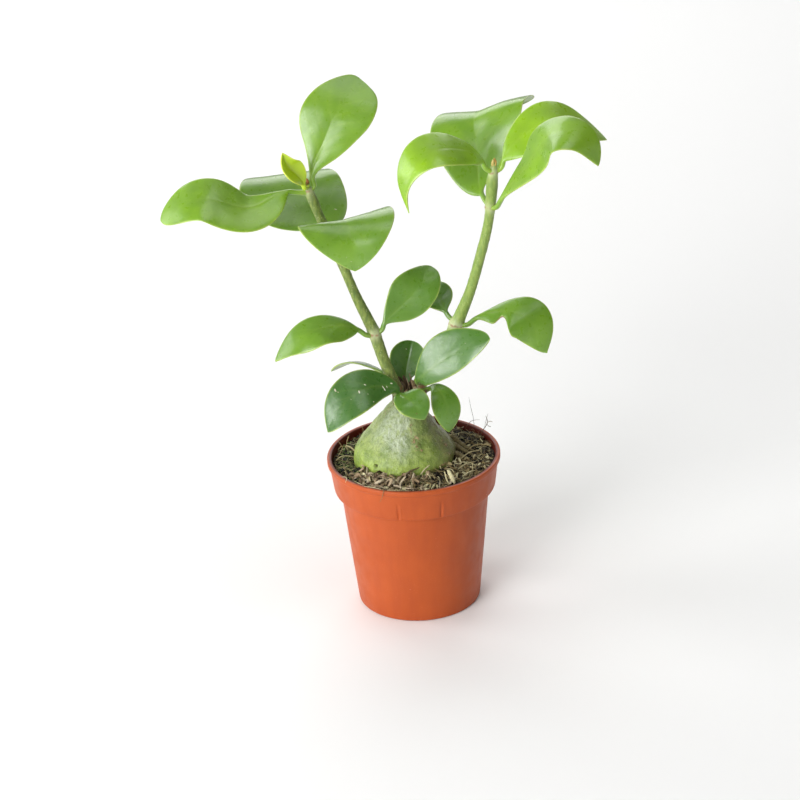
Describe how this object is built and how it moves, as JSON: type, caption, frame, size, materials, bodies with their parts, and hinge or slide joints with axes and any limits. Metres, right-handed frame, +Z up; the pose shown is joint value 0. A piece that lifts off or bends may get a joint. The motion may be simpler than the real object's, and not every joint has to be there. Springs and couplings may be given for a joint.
{
  "type": "potted ant plant",
  "caption": "Small potted ant plant: a swollen green caudex with two stems of thick glossy leaves, standing in a terracotta-coloured plastic nursery pot.",
  "frame": {"origin": "middle of the pot's flat underside, where it stands", "axes": "+Z up, along the pot's axis; -Y towards the side that the picture shows; +X to the picture's right"},
  "size_m": [0.1735, 0.0803, 0.2199],
  "materials": {
    "terracotta_plastic": "satin",
    "potting_soil": "matte",
    "caudex_skin": "satin",
    "stem_bark": "satin",
    "leaf_bright": "gloss",
    "leaf_dark": "gloss",
    "leaf_young": "gloss"
  },
  "bodies": {
    "root": {"pot": "terracotta_plastic", "soil": "potting_soil", "caudex": "caudex_skin", "stem_left": "stem_bark", "stem_right": "stem_bark", "leaf_left_young": "leaf_young", "leaf_left_top": "leaf_bright", "leaf_left_side": "leaf_bright", "leaf_left_back": "leaf_bright", "leaf_left_front": "leaf_bright", "leaf_right_arching": "leaf_bright", "leaf_right_back": "leaf_bright", "leaf_right_far": "leaf_bright", "leaf_right_front": "leaf_bright", "leaf_left_mid_outer": "leaf_dark", "leaf_left_mid_inner": "leaf_dark", "leaf_right_mid_inner": "leaf_dark", "leaf_right_mid_outer": "leaf_dark", "leaf_base_left": "leaf_dark", "leaf_base_edge": "leaf_dark", "leaf_base_back": "leaf_dark", "leaf_base_right": "leaf_dark", "leaf_base_front": "leaf_dark", "leaf_base_low": "leaf_dark"}
  },
  "joints": []
}
